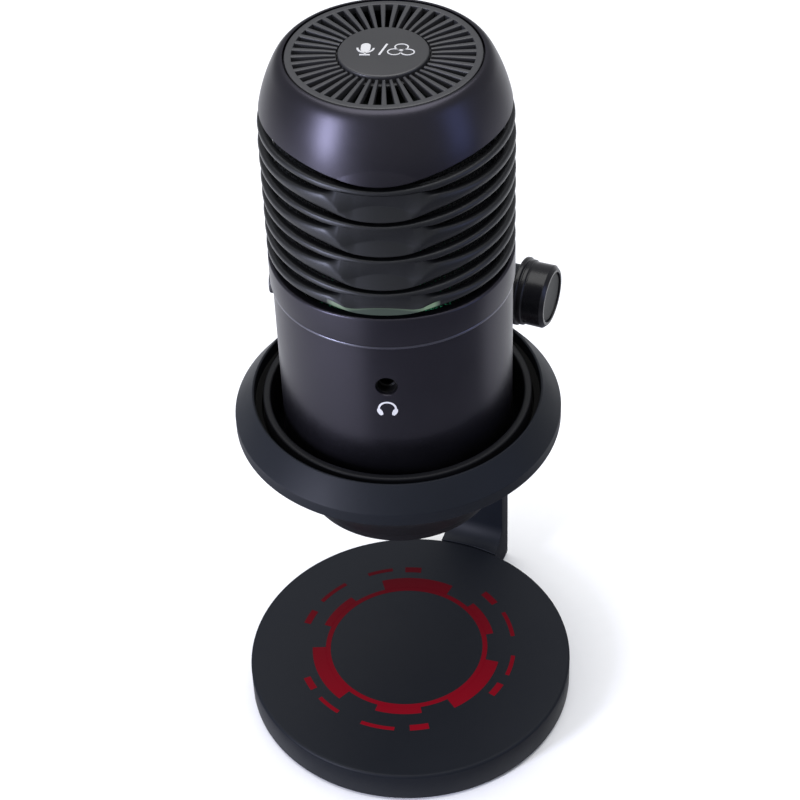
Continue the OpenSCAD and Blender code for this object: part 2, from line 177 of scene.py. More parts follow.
class Shape:
    """Vertices (millimetres, in a local frame) and faces of a piece, gathered part by part."""

    def __init__(self):
        self.points = []
        self.faces = []

    def add(self, points, faces):
        """Adds a part; its faces count its own points from 0."""
        start = len(self.points)
        self.points.extend(points)
        self.faces.extend(tuple(i + start for i in face) for face in faces)

    def loops(self, rows, closed_rows=True, skip=None):
        """Faces between successive closed outlines. skip(row, edge) leaves a face out."""
        count, size = len(rows), len(rows[0])
        faces = []
        for j in range(count if closed_rows else count - 1):
            k = (j + 1) % count
            for i in range(size):
                if skip and skip(j, i):
                    continue
                n = (i + 1) % size
                faces.append((j * size + i, k * size + i, k * size + n, j * size + n))
        self.add([p for row in rows for p in row], faces)

    def strip(self, rows):
        """A closed body through successive outlines, with flat ends."""
        start, size = len(self.points), len(rows[0])
        self.loops(rows, closed_rows=False)
        last = start + size * (len(rows) - 1)
        self.faces += [tuple(range(start, start + size)), tuple(reversed(range(last, last + size)))]

    def lathe(self, outline, columns=240):
        """A closed outline of (radius, height), turned about Z."""
        rows = []
        for j in range(columns):
            a = 2 * math.pi * j / columns
            c, s = math.cos(a), math.sin(a)
            rows.append([(r * c, r * s, z) for r, z in outline])
        self.loops(rows)

    def extrude(self, outline, low, high):
        """A closed outline of (x, y), from z = low to high, with flat ends."""
        size = len(outline)
        points = [(x, y, z) for z in (low, high) for x, y in outline]
        sides = [(i, (i + 1) % size, size + (i + 1) % size, size + i) for i in range(size)]
        self.add(points, sides + [tuple(reversed(range(size))), tuple(range(size, 2 * size))])

    def ribbon(self, centres, halves, low, high, place):
        """A thin closed strip along centres (x, y) with half widths, mapped by place(x, y, height)."""
        rows = []
        count = len(centres)
        for i, (x, y) in enumerate(centres):
            x0, y0 = centres[max(i - 1, 0)]
            x1, y1 = centres[min(i + 1, count - 1)]
            length = math.hypot(x1 - x0, y1 - y0)
            nx, ny = -(y1 - y0) / length, (x1 - x0) / length
            h = halves[i] if isinstance(halves, (list, tuple)) else halves
            rows.append([place(x + nx * s * h, y + ny * s * h, z)
                         for s, z in ((-1, low), (1, low), (1, high), (-1, high))])
        self.strip(rows)

    def tube(self, centres, thickness, sides, normals):
        """A closed wire through centres, with sides corners; normals give one direction across each."""
        count = len(centres)
        rows = []
        for i, p in enumerate(centres):
            along = (Vector(centres[(i + 1) % count]) - Vector(centres[i - 1])).normalized()
            out = Vector(normals[i])
            side = along.cross(out).normalized()
            rows.append([tuple(Vector(p) + thickness * (out * math.cos(a) + side * math.sin(a)))
                         for a in (2 * math.pi * k / sides for k in range(sides))])
        self.loops(rows)

    def object(self, name, place=MIC, sharp=SHARP):
        """The finished mesh object, in metres, in the row frame."""
        mesh = bpy.data.meshes.new(name)
        mesh.from_pydata([place @ (Vector(p) * MM) for p in self.points], [], self.faces)
        tidy_mesh(mesh)
        return finish_object(name, mesh, sharp)


def tidy_mesh(mesh):
    """Welds what coincides, drops what is flat, and turns the faces outwards."""
    bm = bmesh.new()
    bm.from_mesh(mesh)
    bmesh.ops.remove_doubles(bm, verts=bm.verts, dist=WELD)
    bmesh.ops.dissolve_degenerate(bm, edges=bm.edges, dist=WELD / 2)
    bmesh.ops.recalc_face_normals(bm, faces=bm.faces)
    bm.to_mesh(mesh)
    bm.free()


def shade(mesh, sharp):
    """Smooth shading, but for edges sharper than an angle in degrees."""
    mesh.polygons.foreach_set("use_smooth", [True] * len(mesh.polygons))
    mesh.set_sharp_from_angle(angle=math.radians(sharp))


def finish_object(name, mesh, sharp=SHARP):
    """An object of a mesh, shaded and put in the scene."""
    shade(mesh, sharp)
    made = bpy.data.objects.new(name, mesh)
    bpy.context.scene.collection.objects.link(made)
    return made


def piece(shape, name, body, node=None, slot=None, material=None, place=MIC, sharp=SHARP):
    """Makes a shape's object, or takes a finished one; dresses it and sets it on its body.

    A piece that replaces a CAD node takes the node's slot, and a slot gives its material."""
    made = shape.object(name, place, sharp=sharp) if isinstance(shape, Shape) else shape
    slot = NODE_SLOTS.get(node, slot)
    made.data.materials.clear()
    made.data.materials.append(material or SLOT_MATERIALS[slot])
    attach(made, body)
    if node:
        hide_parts(node)
    return made


def apply_modifiers(made):
    """Replaces an object's mesh with the mesh that its modifiers give."""
    graph = bpy.context.evaluated_depsgraph_get()
    mesh = bpy.data.meshes.new_from_object(made.evaluated_get(graph))
    made.modifiers.clear()
    made.data = mesh


def cut(made, cutters):
    """Subtracts the cutters' solids from an object, and removes them."""
    for cutter in cutters:
        modifier = made.modifiers.new("cut", "BOOLEAN")
        modifier.operation = "DIFFERENCE"
        modifier.solver = "EXACT"
        modifier.object = cutter
    apply_modifiers(made)
    for cutter in cutters:
        bpy.data.objects.remove(cutter)
    shade(made.data, SHARP)


def bevelled(made, width):
    """Rounds an object's sharp edges."""
    modifier = made.modifiers.new("bevel", "BEVEL")
    modifier.width = width * MM
    modifier.segments = BEVEL_STEPS
    modifier.limit_method = "ANGLE"
    modifier.angle_limit = math.radians(BEVEL_FROM)
    apply_modifiers(made)
    shade(made.data, BEVEL_SHARP)
    return made


def soft_copy(node, width):
    """A copy of a CAD node with its edges rounded."""
    mesh = frame["nodes"][node].data.copy()
    bm = bmesh.new()
    bm.from_mesh(mesh)
    bmesh.ops.remove_doubles(bm, verts=bm.verts, dist=2 * WELD)
    bmesh.ops.dissolve_limit(bm, angle_limit=math.radians(FLAT), verts=bm.verts, edges=bm.edges)
    bmesh.ops.recalc_face_normals(bm, faces=bm.faces)
    bm.to_mesh(mesh)
    bm.free()
    return bevelled(finish_object(node + "_finish", mesh), width)


# ---- Materials ----

# Part of a noise's values that a colour or roughness change spans
NOISE_SPAN = (0.3, 0.7)
# Light guide: strength, colour, and the angles from the front at which its glow ends and is full
GLOW = 40.0
GLOW_GREEN = (0.12, 1.0, 0.5, 1)
GLOW_ENDS = 38
GLOW_FULL = 16
# Window skin over the lowest groove, whose emission is painted light: angle of its ends, its painted dim glow and
# its painted bright glints of the light guide
WINDOW_SIDE = 26.0
WINDOW_PAINTED_GLOW = (0.006, 0.018, 0.01, 1)
WINDOW_PAINTED_GLINT = (0.12, 0.19, 0.12, 1)


def add_node(material, kind, **inputs):
    """A new shader node with some inputs set; an input's spaces are written as underscores."""
    node = material.node_tree.nodes.new("ShaderNode" + kind)
    for key, value in inputs.items():
        node.inputs[key.replace("_", " ")].default_value = value
    return node


def surface(name, color, rough, metallic=0.0, specular=0.5, grain=(2600, 0.15), fleck=0.06,
            rough_change=0.06, stretch=(1, 1, 1), sheen=0.0, edge_tint=1.0):
    """A moulded, painted or machined surface: colour and roughness vary a little, with a fine grain.

    grain is (scale per metre, bump strength), fleck the share by which the colour varies."""
    material = bpy.data.materials.new(name)
    material.use_nodes = True
    links = material.node_tree.links
    shader = material.node_tree.nodes["Principled BSDF"]
    shader.inputs["Metallic"].default_value = metallic
    shader.inputs["Specular IOR Level"].default_value = specular
    shader.inputs["Sheen Weight"].default_value = sheen
    shader.inputs["Specular Tint"].default_value = (edge_tint, edge_tint, edge_tint, 1)
    where = add_node(material, "TexCoord")
    stretched = add_node(material, "Mapping", Scale=stretch)
    links.new(where.outputs["Object"], stretched.inputs["Vector"])
    fine = add_node(material, "TexNoise", Scale=grain[0], Detail=3.0, Roughness=0.6)
    wide = add_node(material, "TexNoise", Scale=45.0, Detail=4.0, Roughness=0.55)
    links.new(stretched.outputs["Vector"], fine.inputs["Vector"])
    links.new(where.outputs["Object"], wide.inputs["Vector"])
    tint = add_node(material, "ValToRGB")
    for stop, at, share in zip(tint.color_ramp.elements, NOISE_SPAN, (1 - fleck, 1 + fleck)):
        stop.position = at
        stop.color = (*[clamp(c * share) for c in color], 1)
    both = add_node(material, "Math")
    both.operation = "MULTIPLY_ADD"
    both.inputs[1].default_value = 0.5
    links.new(fine.outputs["Fac"], both.inputs[0])
    half = add_node(material, "Math")
    half.operation = "MULTIPLY"
    half.inputs[1].default_value = 0.5
    links.new(wide.outputs["Fac"], half.inputs[0])
    links.new(half.outputs["Value"], both.inputs[2])
    links.new(both.outputs["Value"], tint.inputs["Fac"])
    links.new(tint.outputs["Color"], shader.inputs["Base Color"])
    gloss = add_node(material, "MapRange", From_Min=NOISE_SPAN[0], From_Max=NOISE_SPAN[1],
                     To_Min=clamp(rough - rough_change, 0.02), To_Max=clamp(rough + rough_change))
    links.new(wide.outputs["Fac"], gloss.inputs["Value"])
    links.new(gloss.outputs["Result"], shader.inputs["Roughness"])
    bump = add_node(material, "Bump", Strength=grain[1], Distance=0.00006)
    links.new(fine.outputs["Fac"], bump.inputs["Height"])
    links.new(bump.outputs["Normal"], shader.inputs["Normal"])
    return material


SLOT_MATERIALS = {}


def slot_look(name, *look, **more):
    """Makes the material of a slot; what follows the name is as for surface()."""
    SLOT_MATERIALS[name] = surface(name, *look, **more)


slot_look("stand_paint", (0.0055, 0.0069, 0.0102), 0.5, specular=0.16, grain=(3200, 0.35))
slot_look("cup_plastic", (0.006, 0.0062, 0.0075), 0.46, specular=0.16, grain=(2400, 0.2))
slot_look("body_paint", (0.034, 0.0325, 0.041), 0.33, metallic=0.92, grain=(5200, 0.16),
          fleck=0.1, rough_change=0.03, edge_tint=0.8)
# Painted shade: the ridges' copy of the body paint is a little darker and less violet, so they show less of the
# side light's highlight; it is also rougher
GRILLE_SHADED_PAINT = surface("grille_shaded_paint", (0.032, 0.033, 0.035), 0.42, metallic=0.92, grain=(5200, 0.2),
                       fleck=0.1, rough_change=0.03)
slot_look("seam_metal", (0.11, 0.11, 0.135), 0.3, metallic=1.0, stretch=(1, 1, 8))
slot_look("top_plastic", (0.024, 0.024, 0.027), 0.42, grain=(3000, 0.2))
slot_look("button_plastic", (0.022, 0.022, 0.024), 0.4, specular=0.45, grain=(3400, 0.2))
slot_look("knob_plastic", (0.006, 0.006, 0.0075), 0.3, specular=0.25, grain=(2000, 0.08))
slot_look("knob_cap", (0.003, 0.005, 0.005), 0.42, specular=0.06, grain=(2000, 0.05))
slot_look("mesh_metal", (0.012, 0.013, 0.013), 0.45, metallic=0.9, grain=(4000, 0.2))
slot_look("light_guide", (0.5, 0.62, 0.55), 0.4, grain=(1500, 0.1))
slot_look("foam", (0.012, 0.012, 0.012), 0.95, specular=0.1, grain=(1400, 1.0), fleck=0.35, sheen=0.1)
slot_look("rubber", (0.006, 0.006, 0.006), 0.8, specular=0.15, grain=(2200, 0.4))
slot_look("inner_plastic", (0.03, 0.03, 0.033), 0.5, grain=(1800, 0.3))
slot_look("socket_plastic", (0.004, 0.004, 0.004), 0.4, specular=0.2, grain=(2500, 0.1))
slot_look("nylon", (0.05, 0.05, 0.053), 0.55, grain=(2500, 0.2))
slot_look("board", (0.012, 0.016, 0.014), 0.35, grain=(900, 0.3), fleck=0.2)
slot_look("steel", (0.35, 0.36, 0.38), 0.4, metallic=1.0, grain=(1800, 0.3), stretch=(1, 1, 6))
slot_look("screw_steel", (0.5, 0.5, 0.52), 0.3, metallic=1.0, grain=(2600, 0.2))
slot_look("socket_metal", (0.6, 0.6, 0.62), 0.22, metallic=1.0, grain=(3000, 0.1))
slot_look("brass", (0.75, 0.55, 0.26), 0.3, metallic=1.0, grain=(2400, 0.2), stretch=(1, 1, 6))
PALE_PRINT = surface("pale_print", (0.5, 0.5, 0.51), 0.5, grain=(3000, 0.2))


def dress_cad_nodes():
    """Gives every CAD node the material of its slot."""
    for node, slot in NODE_SLOTS.items():
        mesh = frame["nodes"][node].data
        mesh.materials.clear()
        mesh.materials.append(SLOT_MATERIALS[slot])


def front_cosine(material, centre, front, reach):
    """A socket with the cosine of a point's angle from the microphone's front."""
    where = add_node(material, "TexCoord")
    offset = add_node(material, "VectorMath")
    offset.operation = "SUBTRACT"
    offset.inputs[1].default_value = centre
    ahead = add_node(material, "VectorMath")
    ahead.operation = "DOT_PRODUCT"
    ahead.inputs[1].default_value = front / (reach * MM)
    material.node_tree.links.new(where.outputs["Object"], offset.inputs[0])
    material.node_tree.links.new(offset.outputs["Vector"], ahead.inputs[0])
    return ahead.outputs["Value"]


def light_the_guide():
    """Lets the light guide glow green at the microphone's front and fade to the sides."""
    guide = SLOT_MATERIALS["light_guide"]
    to_local = frame["nodes"]["light_ring"].matrix_world.inverted()
    cosine = front_cosine(guide, to_local @ node_centre("light_ring"),
                          to_local.to_3x3() @ MIC_FRONT, radius("light_ring"))
    glow = add_node(guide, "MapRange", From_Min=math.cos(math.radians(GLOW_ENDS)),
                    From_Max=math.cos(math.radians(GLOW_FULL)), To_Max=GLOW)
    glow.interpolation_type = "SMOOTHSTEP"
    shader = guide.node_tree.nodes["Principled BSDF"]
    guide.node_tree.links.new(cosine, glow.inputs["Value"])
    guide.node_tree.links.new(glow.outputs["Result"], shader.inputs["Emission Strength"])
    shader.inputs["Emission Color"].default_value = GLOW_GREEN


def facet_painted_glow():
    """Smoky glass skin whose emission is painted light: a painted dim green glow in its middle and two painted
    bright glints near its ends.
    """
    material = surface("facet_painted_glow", (0.022, 0.026, 0.024), 0.3, grain=(3000, 0.1))
    shader = material.node_tree.nodes["Principled BSDF"]
    low = math.cos(math.radians(WINDOW_SIDE))
    share = add_node(material, "MapRange", From_Min=low, From_Max=1.0)
    glow = add_node(material, "ValToRGB")
    stops = glow.color_ramp.elements
    stops[0].color = (0, 0, 0, 1)
    stops[1].color = WINDOW_PAINTED_GLOW
    # Painted glints: two bright spots of the guide's light near the window's ends
    for angle, color in ((23.0, WINDOW_PAINTED_GLINT), (19.0, WINDOW_PAINTED_GLINT), (14.0, WINDOW_PAINTED_GLOW)):
        stops.new((math.cos(math.radians(angle)) - low) / (1 - low)).color = color
    links = material.node_tree.links
    links.new(front_cosine(material, MIC_AXIS, MIC_FRONT, BODY_R), share.inputs["Value"])
    links.new(share.outputs["Result"], glow.inputs["Fac"])
    links.new(glow.outputs["Color"], shader.inputs["Emission Color"])
    shader.inputs["Emission Strength"].default_value = 1.0
    return material


# ---- Grille casing ----

GRILLE_LOW, RIM_Z = span("grille_shell")
BODY_R = radius("grille_shell")
CAP_LOW, CAP_HIGH = span("top_grille")
CAP_R = radius("top_grille") - 0.25
RIM_R = radius("top_grille") + 1.5
COLUMNS = 720
GRILLE_SHARP = 40.0
GRILLE_WALL = 2.3
INNER_R = BODY_R - GRILLE_WALL
SHOULDER_Z = 194.0
DOME_R = ((BODY_R - RIM_R) ** 2 + (RIM_Z - SHOULDER_Z) ** 2) / (2 * (BODY_R - RIM_R))
GROOVES = 5
GROOVE_Z = 161.8
GROOVE_PITCH = 9.6
# Half height of a groove at the front and at the sides; how deep it dips, and over what angle
GROOVE_HALF = (0.58, 1.2)
DIP = 2.3
DIP_SPREAD = 33
# Angle up to which a slot is closed, angle over which it opens, and its half height then
SLOT_CLOSED = 19.5
SLOT_OPENING = 45
SLOT_HALF = 1.5
ROD_DEPTH = 1.65
RIDGE_WALL = 0.25
# Angles between which the front's facets turn into the sides' rods
BLEND = (11, 27)
# Depth of the valley under a closed slot, at the front and where the slot opens
VALLEY = (1.95, 1.65)
UPPER_LIP = 0.7
LOWER_LIP = 0.3
# Angle of a lens's tips, and height and depth of the lenses
LENS_SIDE = 18.0
FACET_LENS = (3.1, 2.0)
LOWEST_LENS = (1.4, 1.4)
SHOULDER_LENS = (3.6, 0.4)
# How far the window skin with the painted glow stands out of its facet, from its lower to its upper edge
WINDOW_STAND = (0, 0.05, 0.05, -0.02)
WINDOW_THICK = 0.15
WINDOW_STEPS = 104


def casing_r(z):
    """Outer radius of the casing at a level: straight, then the shoulder's arc."""
    rise = max(z - SHOULDER_Z, 0)
    return BODY_R - DOME_R + math.sqrt(DOME_R ** 2 - rise ** 2)


def fold(azimuth):
    """Angle from the front or the back, whichever is nearer: the casing's waves are alike on both."""
    a = abs((azimuth + 180) % 360 - 180)
    return min(a, 180 - a)


def groove(index, a):
    """Lower and upper edge of a full groove. All but the lowest dip at the front."""
    dip = DIP * math.exp(-(a / DIP_SPREAD) ** 2) if index else 0
    half = mix(*GROOVE_HALF, smooth(a, 4, 44)) - 0.2 * smooth(a, 50, 85)
    middle = GROOVE_Z + index * GROOVE_PITCH - dip
    return middle - half, middle + half


def slot_span(index, a):
    """Middle and half height of the slot above groove index. It is closed near the front."""
    middle = GROOVE_Z + (index + 0.5) * GROOVE_PITCH - 0.5 * (1 - smooth(a, 2, 30))
    opened = clamp((a - SLOT_CLOSED) / SLOT_OPENING)
    return middle, SLOT_HALF * math.sin(math.pi / 2 * opened ** 0.75)


def lens(a, height, depth):
    """Height and depth of the lens-shaped facet over a groove at the front; both end at its tips."""
    share = max(1 - (a / LENS_SIDE) ** 2, 0)
    return height * share + 0.4, depth * share


def valley(a):
    """Depth of the valley at the slot's line, near the front."""
    return mix(*VALLEY, smooth(a, 0, SLOT_CLOSED + 4))


def rod_outline(edge, end, sign, out, steps=10):
    """A ridge as at the sides: a rounded bar from the groove's edge to the slot's."""
    middle, half = (edge + end) / 2, abs(edge - end) / 2
    points = []
    for k in range(steps + 1):
        t = math.pi * k / steps
        c, s = math.cos(t), math.sin(t)
        points.append((out - ROD_DEPTH * (1 - abs(s) ** 0.6),
                       middle + sign * half * math.copysign(abs(c) ** 0.8, c)))
    return points


def upper_ridge(edge, end, a):
    """The ridge under a groove. At the front a thin lip over a sunk, upright face."""
    out, lip = casing_r((edge + end) / 2), UPPER_LIP
    front = [(INNER_R + 0.3, edge)]
    for k in range(6):
        t = math.pi / 2 * k / 5
        front.append((out - lip + lip * math.sin(t), edge - lip * (1 - math.cos(t))))
    for t in (0.05, 0.2, 0.5, 1.0):
        front.append((out - valley(a) * t ** 0.2, mix(edge - lip, end, t)))
    return mix_points(front, rod_outline(edge, end, 1, out), smooth(a, *BLEND))


def lower_ridge(edge, end, a, height, depth):
    """The ridge over a groove. At the front a lens-shaped facet rises from it and leans in."""
    out, lip = casing_r((edge + end) / 2), LOWER_LIP
    rise, inset = lens(a, height, depth)
    front = [(INNER_R + 0.3, edge)]
    for k in range(4):
        t = math.pi / 2 * k / 3
        front.append((out - lip + lip * math.sin(t), edge + lip * (1 - math.cos(t))))
    for t in (0.4, 0.93, 1.0):
        front.append((out - inset * t, mix(edge + lip, edge + rise, t)))
    for t in (0.07, 0.5, 1.0):
        front.append((mix(out - inset, out - valley(a), t), mix(edge + rise, end, t)))
    return mix_points(front, rod_outline(edge, end, -1, out), smooth(a, *BLEND))


def cell_edges(index, a):
    """Lower and upper edge of the cell over a groove, and its slot's middle and half height."""
    low_edge, high_edge = groove(index, a)[1], groove(index + 1, a)[0]
    middle, half = slot_span(index, a)
    half = 0 if a <= SLOT_CLOSED + 1e-6 else min(half, 0.3 * (high_edge - low_edge))
    return low_edge, high_edge, middle, half


def painted_glow_skin():
    """A thin window skin on the lowest facet at the front, which paints the light guide's glow and glints onto the
    facet.
    """
    rows = []
    for k in range(WINDOW_STEPS + 1):
        azimuth = mix(-WINDOW_SIDE, WINDOW_SIDE, k / WINDOW_STEPS)
        low_edge, high_edge, middle, half = cell_edges(0, abs(azimuth))
        facet = lower_ridge(low_edge, middle - half, abs(azimuth), *LOWEST_LENS)[3:7]
        outline = [(r + stand, z) for (r, z), stand in zip(facet, WINDOW_STAND)]
        outline += [(r - WINDOW_THICK, z) for r, z in reversed(facet)]
        rows.append(turned(outline, azimuth))
    shape = Shape()
    shape.strip(rows)
    piece(shape, "painted_glow_window", "microphone", slot="light_guide", material=facet_painted_glow(),
          sharp=GRILLE_SHARP)


def cell(shape, index):
    """The two ridges between full grooves index and index + 1, with the slot between them."""
    rows_top, rows_low, opened = [], [], []
    lens_size = FACET_LENS if index else LOWEST_LENS
    for j in range(COLUMNS):
        azimuth = 360 * j / COLUMNS
        a = fold(azimuth)
        low_edge, high_edge, middle, half = cell_edges(index, a)
        wall = RIDGE_WALL * smooth(a, SLOT_CLOSED, SLOT_CLOSED + 6)
        inner = mix(INNER_R, BODY_R - ROD_DEPTH - 0.15, smooth(a, 14, 30))
        upper = upper_ridge(high_edge, middle + half, a)
        lower = lower_ridge(low_edge, middle - half, a, *lens_size)
        upper += [(inner, middle + half + wall), (inner, high_edge - RIDGE_WALL)]
        lower += [(inner, middle - half - wall), (inner, low_edge + RIDGE_WALL)]
        rows_top.append(turned(upper, azimuth))
        rows_low.append(turned(lower, azimuth))
        opened.append(half > 0)
    wall_edge = len(rows_top[0]) - 3

    def closed_wall(j, i):
        return i == wall_edge and not opened[j] and not opened[(j + 1) % COLUMNS]

    shape.loops(rows_top, skip=closed_wall)
    shape.loops(rows_low, skip=closed_wall)


def collar(shape):
    """The plain band under the lowest groove."""
    rows = []
    for j in range(COLUMNS):
        azimuth = 360 * j / COLUMNS
        edge = groove(0, fold(azimuth))[0]
        outline = rounded([(INNER_R, GRILLE_LOW, 0), (BODY_R, GRILLE_LOW, 0.35),
                           (BODY_R, edge, 0.7), (INNER_R, edge, 0.2)])
        rows.append(turned(outline, azimuth))
    shape.loops(rows)


def shoulder(shape):
    """The domed shoulder over the highest groove, with a lens-shaped facet over the groove's dip."""
    rows = []
    lip, fillet = 0.4, 2.6
    for j in range(COLUMNS):
        azimuth = 360 * j / COLUMNS
        a = fold(azimuth)
        edge = groove(GROOVES - 1, a)[1]
        rise, flare = lens(a, *SHOULDER_LENS)
        rise = max(rise, 1.2)
        outline = [(INNER_R, edge + 0.3), (INNER_R + 0.3, edge), (casing_r(edge) + flare - lip, edge)]
        for k in range(11):
            z = mix(edge + lip, edge + rise, k / 10)
            outline.append((casing_r(z) + flare * (1 - k / 10), z))
        for k in range(1, 31):
            z = mix(edge + rise, RIM_Z - fillet, k / 30)
            outline.append((casing_r(z), z))
        start = Vector((casing_r(RIM_Z - fillet), RIM_Z - fillet))
        corner = Vector((casing_r(RIM_Z) + 0.1, RIM_Z))
        end = corner - Vector((1.35, 0))
        for k in range(1, 9):
            t = k / 8
            p = start * (1 - t) ** 2 + corner * 2 * t * (1 - t) + end * t ** 2
            outline.append((p.x, p.y))
        outline += [(CAP_R + 0.4, RIM_Z - 0.02), (CAP_R + 0.4, CAP_LOW - 0.2),
                    (CAP_R - 0.5, CAP_LOW - 0.2), (CAP_R - 0.5, CAP_LOW - 1.6)]
        for k in range(9):
            z = mix(CAP_LOW - 3.2, edge + 2.4, k / 8)
            outline.append((min(casing_r(z) - GRILLE_WALL, INNER_R), z))
        rows.append(turned(outline, azimuth))
    shape.loops(rows)


def inner_ribs(shape):
    """Upright ribs behind the ridges, which carry them."""
    low, high = GRILLE_LOW + 4.5, groove(GROOVES - 1, 90)[1] + 1.2
    start = INNER_R - 0.9
    for azimuth in (0, 75, 105, 180, 255, 285):
        end = BODY_R - ROD_DEPTH + 0.15 if fold(azimuth) else INNER_R + 0.05
        outline = rounded([(-0.8, start, 0.3), (0.8, start, 0.3), (0.6, end, 0.2), (-0.6, end, 0.2)], 3)
        turn = math.radians(azimuth)
        c, s = math.cos(turn), math.sin(turn)
        shape.extrude([(x * c + y * s, x * s - y * c) for x, y in outline], low, high)


def make_grille():
    """The casing's collar and shoulder, and the ridges between them."""
    shape = Shape()
    collar(shape)
    shoulder(shape)
    piece(shape, "grille_casing", "microphone", "grille_shell", sharp=GRILLE_SHARP)
    ridges = Shape()
    for index in range(GROOVES - 1):
        cell(ridges, index)
    inner_ribs(ridges)
    piece(ridges, "grille_ridges", "microphone", slot="body_paint", material=GRILLE_SHADED_PAINT,
          sharp=GRILLE_SHARP)
    painted_glow_skin()


def make_wire_mesh():
    """Woven wire behind the grille: upright wires and hoops that pass over and under each other."""
    low, high = span("inner_mesh")
    middle_r = radius("inner_mesh") - 0.3
    uprights, hoops, wire = 132, 36, 0.17
    pitch = (high - low - 1.2) / (hoops - 1)
    shape = Shape()
    for i in range(uprights):
        a = 2 * math.pi * i / uprights
        out = Vector((math.cos(a), math.sin(a), 0))
        side = Vector((-out.y, out.x, 0))
        rows = []
        for k in range(hoops):
            r = middle_r + wire * 0.8 * (1 if (i + k) % 2 else -1)
            z = low + 0.6 + k * pitch
            rows.append([tuple(out * (r + wire * dr) + side * wire * ds + UP * z)
                         for dr, ds in ((1, 0), (0, 1), (-1, 0), (0, -1))])
        shape.strip(rows)
    for k in range(hoops):
        centres, normals = [], []
        for i in range(uprights):
            a = 2 * math.pi * i / uprights
            out = (math.cos(a), math.sin(a), 0)
            r = middle_r - wire * 0.8 * (1 if (i + k) % 2 else -1)
            centres.append((r * out[0], r * out[1], low + 0.6 + k * pitch))
            normals.append(out)
        shape.tube(centres, wire, 4, normals)
    for z in (low + 0.35, high - 0.35):
        shape.lathe(rounded([(middle_r - 0.3, z - 0.35, 0.1), (middle_r + 0.3, z - 0.35, 0.1),
                             (middle_r + 0.3, z + 0.35, 0.1), (middle_r - 0.3, z + 0.35, 0.1)], 2), 180)
    piece(shape, "wire_mesh", "microphone", "inner_mesh", sharp=60)


# ---- Top ----

FINS = 44
BUTTON_R = 10.4
FIN_IN = 10.9
FIN_OUT = 20.9
FIN_STEPS = 12
FIN_ROUND = 0.24


def make_top_grille():
    """Outer ring, sunk inner ring and the flat-topped fins between them."""
    shape = Shape()
    shape.lathe(rounded([(FIN_OUT, CAP_LOW, 0.1), (CAP_R, CAP_LOW, 0.1),
                         (CAP_R, CAP_HIGH, 0.35), (FIN_OUT, CAP_HIGH, 0.2)], 4), 360)
    shape.lathe(rounded([(BUTTON_R + 0.35, CAP_LOW, 0), (FIN_IN + 0.9, CAP_LOW, 0),
                         (FIN_IN + 0.9, CAP_LOW + 0.5, 0.1),
                         (BUTTON_R + 0.35, CAP_LOW + 0.5, 0.1)], 4), 240)
    pitch = 2 * math.pi / FINS
    for i in range(FINS):
        turn = (i + 0.5) * pitch - math.pi / 2
        c, s = math.cos(turn), math.sin(turn)
        rows = []
        for k in range(FIN_STEPS + 1):
            r = mix(FIN_IN, FIN_OUT + 0.3, k / FIN_STEPS)
            half = r * pitch * mix(0.47, 0.41, k / FIN_STEPS) / 2
            crest = CAP_HIGH - 0.03 - 0.12 * smooth(r, 14, 11)
            outline = [(-half, CAP_LOW), (-half, crest - FIN_ROUND)]
            for side, quarters in ((-1, (0, 1, 2, 3)), (1, (3, 2, 1, 0))):
                for q in quarters:
                    t = math.pi / 2 * q / 3
                    outline.append((side * (half - FIN_ROUND * (1 - math.cos(t))),
                                    crest - FIN_ROUND + FIN_ROUND * math.sin(t)))
            outline += [(half, crest - FIN_ROUND), (half, CAP_LOW)]
            rows.append([(r * c - y * s, r * s + y * c, z) for y, z in outline])
        shape.strip(rows)
    piece(shape, "top_grille_fins", "microphone", "top_grille", sharp=45)


def capsule(shape, x, y, half_width, half_height, place):
    """A filled upright capsule."""
    steps = 16
    centres, halves = [], []
    for k in range(steps + 1):
        t = -math.cos(math.pi * k / steps)
        dy = half_height * t
        over = max(abs(dy) - (half_height - half_width), 0)
        centres.append((x, y + dy))
        halves.append(max(math.sqrt(max(half_width ** 2 - over ** 2, 0)), 0.02))
    shape.ribbon(centres, halves, 0, MARK_HEIGHT, place)


def make_mode_button():
    """The button in the top grille's middle, and its two generic signs."""
    low, high = span("mode_button")
    shape = Shape()
    shape.lathe(rounded([(0, low, 0), (BUTTON_R + 0.8, low, 0.2), (BUTTON_R + 0.8, low + 1, 0.2),
                         (BUTTON_R, low + 1, 0.1), (BUTTON_R, high - 0.15, 0.55), (0, high, 0)], 6), 240)
    piece(shape, "mode_button_cap", "mode_button", "mode_button")
    marks = Shape()
    turn = math.radians(-1)
    c, s = math.cos(turn), math.sin(turn)

    def place(x, y, z):
        return (x * c - y * s, x * s + y * c + 0.5, high - 0.08 + z)

    # Microphone sign: capsule, cradle, stem and foot
    capsule(marks, -4.1, 0.6, 1.1, 1.8, place)
    marks.ribbon(arc_points(-4.1, 0.45, 1.85, 180, 360), 0.23, 0, MARK_HEIGHT, place)
    marks.ribbon([(-4.1, -1.4), (-4.1, -2.2)], 0.24, 0, MARK_HEIGHT, place)
    marks.ribbon([(-5.3, -2.35), (-2.9, -2.35)], 0.24, 0, MARK_HEIGHT, place)
    # Divider
    marks.ribbon([(-0.85, -2.3), (0.65, 2.3)], 0.24, 0, MARK_HEIGHT, place)
    # Pattern sign: three rings in a triangle that overlap a little
    for x, y in ((0, 1.15), (-1.5, -0.95), (1.5, -0.95)):
        marks.ribbon(arc_points(4.0 + x, y, 1.5, 0, 360, 40, 0.8), 0.15, 0, MARK_HEIGHT, place)
    piece(marks, "mode_button_marks", "mode_button", material=PALE_PRINT)


# ---- Barrel ----

